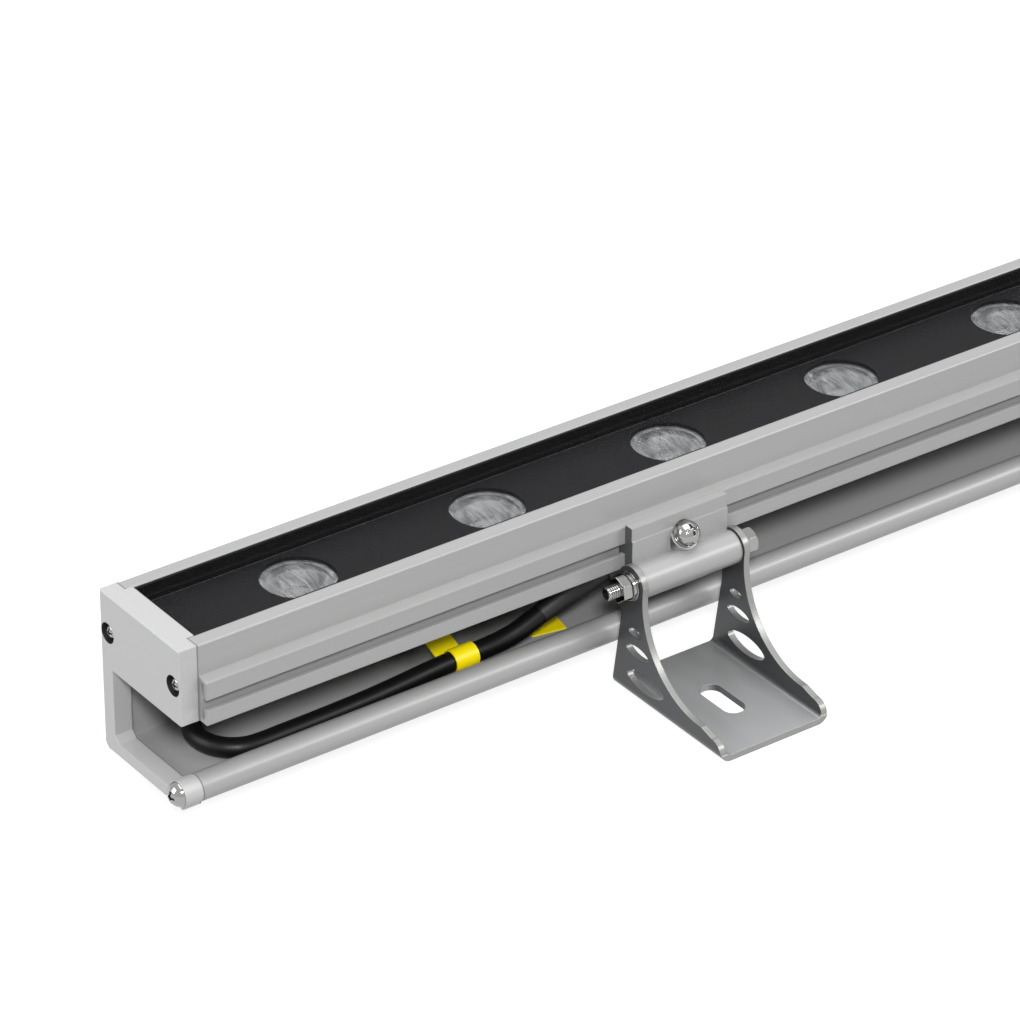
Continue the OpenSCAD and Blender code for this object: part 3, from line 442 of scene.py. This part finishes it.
class WASHER_OT_housing(bpy.types.Operator):
    """Finishes the profile, the end caps, their gaskets and the glass seal"""
    bl_idname = "washer.housing"
    bl_label = "Housing"

    def execute(self, context):
        colours = context.scene.washer_finish
        paint(["housing_profile"],
              anodised_extrusion("anodised_profile_aluminium", list(colours.profile)))
        paint(["end_cap_left", "end_cap_right"],
              # The near black here is the painted shade of the recesses round the side screws
              blasted_aluminium("blasted_cap_aluminium", list(colours.cap), linear("1C1C1D")))
        # Silicone rubber, die cut: grey and matt
        paint(["end_gasket_left", "end_gasket_right"],
              surface("silicone_rubber", linear("7C7E7E"), 0.6, (0.6, 0.6, 0.6), tint=0.1,
                      span=0.08, bump_mm=0.03))
        # EPDM rubber, extruded: black and matt
        paint(["glass_seal"],
              surface("epdm_rubber", linear("08080A"), 0.6, (0.6, 0.6, 0.6), specular=0.2,
                      tint=0.2, span=0.08, bump_mm=0.03))
        return {"FINISHED"}


class WASHER_OT_optics(bpy.types.Operator):
    """Finishes the glass, the lenses, the mask, the board, its pad and the emitters"""
    bl_idname = "washer.optics"
    bl_label = "Optics"

    def execute(self, context):
        colours = context.scene.washer_finish
        paint(["cover_glass"], toughened_glass("toughened_cover_glass", linear("0A0C0C")))
        paint(LENSES, moulded_acrylic("moulded_lens_acrylic", linear("A0A2A4")))
        # Polycarbonate, moulded with a fine spark texture: black and matt
        paint(["lens_mask"],
              surface("moulded_mask_polycarbonate", list(colours.mask), 0.55, (0.5, 0.5, 0.5),
                      specular=0.12, tint=0.12))
        # Solder mask, screen printed: white, half gloss
        paint(["led_board"],
              surface("white_solder_mask", list(colours.board), 0.4, (0.8, 0.8, 0.8), tint=0.03))
        # Silicone pad, cut from sheet: grey and dull
        paint(["heat_pad"],
              surface("silicone_pad", linear("8A8D90"), 0.7, (0.5, 0.5, 0.5), tint=0.08))
        # Phosphor under silicone, cast: pale yellow, wet looking
        paint(["led_emitters"],
              surface("phosphor_silicone", linear("EFD98A"), 0.25, (0.3, 0.3, 0.3), tint=0.06))
        return {"FINISHED"}


class WASHER_OT_fixings(bpy.types.Operator):
    """Finishes the screws, bolts, nuts and washers"""
    bl_idname = "washer.fixings"
    bl_label = "Fixings"

    def execute(self, context):
        steel = list(context.scene.washer_finish.steel)
        plain = ["cap_side_screws", "cap_lower_screws", "board_fixings"]
        for kind in ("pivot_nut", "pivot_washers", "spring_washer", "clamp_screw", "clamp_washer",
                     "clamp_spring_washer"):
            plain += [f"{kind}_{side}" for side in SIDES]
        paint(plain, polished_stainless("polished_stainless_steel", steel))
        paint([f"pivot_bolt_{side}" for side in SIDES],
              polished_stainless("threaded_stainless_steel", steel, threaded=True))
        return {"FINISHED"}


class WASHER_OT_brackets(bpy.types.Operator):
    """Finishes the wall brackets and their clamps"""
    bl_idname = "washer.brackets"
    bl_label = "Brackets"

    def execute(self, context):
        colours = context.scene.washer_finish
        # The ears get painted shade and the base painted light
        paint([f"bracket_{side}" for side in SIDES],
              sheet_steel("rolled_stainless_sheet", list(colours.ear_face_painted_shade),
                          list(colours.base_face_painted_light), list(colours.sheet_cut)))
        # The clamps' faces that look left or right get a dark grey that is painted shade
        paint([f"clamp_{side}" for side in SIDES],
              anodised_extrusion("anodised_clamp_aluminium", list(colours.profile),
                                 linear("505152")))
        return {"FINISHED"}


class WASHER_OT_outlets(bpy.types.Operator):
    """Finishes the cable outlets, the connector, the wires and the markers"""
    bl_idname = "washer.outlets"
    bl_label = "Outlets"

    def execute(self, context):
        colours = context.scene.washer_finish
        # Nylon, moulded: black, satin, with a fine spark texture
        paint(["cable_outlet", "blank_outlet", "outlet_plug", "input_connector"],
              surface("moulded_nylon", linear("141415"), 0.42, (0.6, 0.6, 0.6), tint=0.15))
        # Thermoplastic rubber, moulded: black and softer than the nylon
        paint(["strain_relief"],
              surface("moulded_relief_rubber", linear("101011"), 0.5, (0.9, 0.9, 0.9), tint=0.2))
        # PVC, extruded: black, half gloss
        paint(["feed_wires", "input_lead"],
              surface("pvc_wire", linear("121213"), 0.4, (1, 1, 1), tint=0.1))
        # Brass, drawn: bright and warm
        paint(["connector_pins"],
              surface("drawn_brass", linear("D8B765"), 0.25, (5, 0.3, 0.3), metallic=1.0))
        # Polyester film, printed one colour: yellow, half gloss, with slight waves
        paint(["marker_sleeve", "marker_flag"],
              surface("polyester_marker_film", list(colours.marker), 0.38, (4, 4, 4), tint=0.03,
                      span=0.05, bump_mm=0.05))
        return {"FINISHED"}


class WASHER_OT_stage(bpy.types.Operator):
    """Builds the camera, the floor, the lamps and the white surroundings"""
    bl_idname = "washer.stage"
    bl_label = "Studio"

    def execute(self, context):
        self.camera(context)
        self.floor(context)
        self.lamps(context)
        self.surroundings(context)
        context.scene.view_settings.view_transform = "Standard"
        return {"FINISHED"}

    def camera(self, context):
        """Stands the camera where the photograph was taken from."""
        ahead = Vector(CAMERA_AHEAD).normalized()
        level = ahead.cross(Vector((0, 0, 1))).normalized()
        upright = level.cross(ahead)
        roll = math.radians(CAMERA_ROLL_DEGREES)
        right = level * math.cos(roll) + upright * math.sin(roll)
        up = upright * math.cos(roll) - level * math.sin(roll)
        data = bpy.data.cameras.new("camera")
        data.lens = context.scene.washer_studio.lens
        data.sensor_width = SENSOR_MM
        data.clip_start, data.clip_end = CLIP_NEAR, CLIP_FAR
        camera = bpy.data.objects.new("camera", data)
        turn = Matrix((right, up, -ahead)).transposed().to_4x4()
        camera.matrix_world = Matrix.Translation(CAMERA_PLACE) @ turn
        context.scene.collection.objects.link(camera)
        context.scene.camera = camera

    def floor(self, context):
        """A pale floor under the brackets, white to the camera but for the light's own shadow."""
        mesh = bpy.data.meshes.new("floor")
        corners = [(x * FLOOR_REACH, y * FLOOR_REACH, FLOOR_HEIGHT)
                   for x, y in ((-1, -1), (1, -1), (1, 1), (-1, 1))]
        mesh.from_pydata(corners, [], [(0, 1, 2, 3)])
        floor = bpy.data.objects.new("floor", mesh)
        context.scene.collection.objects.link(floor)
        material, tree, out = blank_material("white_floor")
        plain = add(tree, "ShaderNodeBsdfDiffuse", {"Color": linear("8C8C8C")})
        glow = add(tree, "ShaderNodeEmission", {"Color": WHITE, "Strength": FLOOR_GLOW})
        shown = add(tree, "ShaderNodeAddShader", {}, {0: plain.outputs[0], 1: glow.outputs[0]})
        mixed = add(tree, "ShaderNodeMixShader", {},
                    {0: looked_at(tree), 1: plain.outputs[0], 2: shown.outputs[0]})
        tree.links.new(mixed.outputs[0], out.inputs[0])
        mesh.materials.append(material)

    def lamps(self, context):
        """A small key lamp at the front left, a long one at the front right, whose shine runs along
        the profile, a large one overhead and one at the rear left."""
        for name, power, width, height, place, aim in LAMPS:
            data = bpy.data.lights.new(name, "AREA")
            data.shape = "RECTANGLE"
            data.energy = getattr(context.scene.washer_studio, power)
            data.size, data.size_y = width, height
            lamp = bpy.data.objects.new(name, data)
            lamp.location = place
            lamp.rotation_mode = "QUATERNION"
            lamp.rotation_quaternion = (Vector(aim) - Vector(place)).to_track_quat("-Z", "Y")
            context.scene.collection.objects.link(lamp)

    def surroundings(self, context):
        """White to the camera, to gloss and through clear pieces, and an even light elsewhere."""
        world = bpy.data.worlds.new("surroundings")
        context.scene.world = world
        world.use_nodes = True
        tree = world.node_tree
        tree.nodes.clear()
        even = add(tree, "ShaderNodeBackground",
                   {"Color": WHITE, "Strength": context.scene.washer_studio.ambient})
        white = add(tree, "ShaderNodeBackground", {"Color": WHITE, "Strength": 1.0})
        mixed = add(tree, "ShaderNodeMixShader", {},
                    {0: looked_at(tree), 1: even.outputs[0], 2: white.outputs[0]})
        out = add(tree, "ShaderNodeOutputWorld")
        tree.links.new(mixed.outputs[0], out.inputs[0])


OPERATORS = (WASHER_OT_stage, WASHER_OT_lead, WASHER_OT_housing, WASHER_OT_optics,
             WASHER_OT_brackets, WASHER_OT_fixings, WASHER_OT_outlets)
GROUPS = (("washer_finish", FinishSettings), ("washer_lead", LeadSettings),
          ("washer_studio", StudioSettings))


class WASHER_PT_panel(bpy.types.Panel):
    """Settings and steps of the wall washer"""
    bl_idname = "WASHER_PT_panel"
    bl_label = "Wall washer"
    bl_space_type = "VIEW_3D"
    bl_region_type = "UI"
    bl_category = "Wall washer"

    def draw(self, context):
        for name, group in GROUPS:
            box = self.layout.box()
            settings = getattr(context.scene, name)
            for prop in group.__annotations__:
                box.prop(settings, prop)
        for operator in OPERATORS:
            self.layout.operator(operator.bl_idname)


def register():
    """Adds the settings, the operators and the panel."""
    for name, group in GROUPS:
        bpy.utils.register_class(group)
        setattr(bpy.types.Scene, name, PointerProperty(type=group))
    for each in OPERATORS + (WASHER_PT_panel,):
        bpy.utils.register_class(each)


def unregister():
    """Takes them away again."""
    for each in reversed(OPERATORS + (WASHER_PT_panel,)):
        bpy.utils.unregister_class(each)
    for name, group in reversed(GROUPS):
        delattr(bpy.types.Scene, name)
        bpy.utils.unregister_class(group)


def main():
    """Makes the whole scene in order."""
    register()
    bpy.ops.washer.stage()
    bpy.ops.washer.lead()
    bpy.ops.washer.housing()
    bpy.ops.washer.optics()
    bpy.ops.washer.brackets()
    bpy.ops.washer.fixings()
    bpy.ops.washer.outlets()


if __name__ == "__main__":
    main()
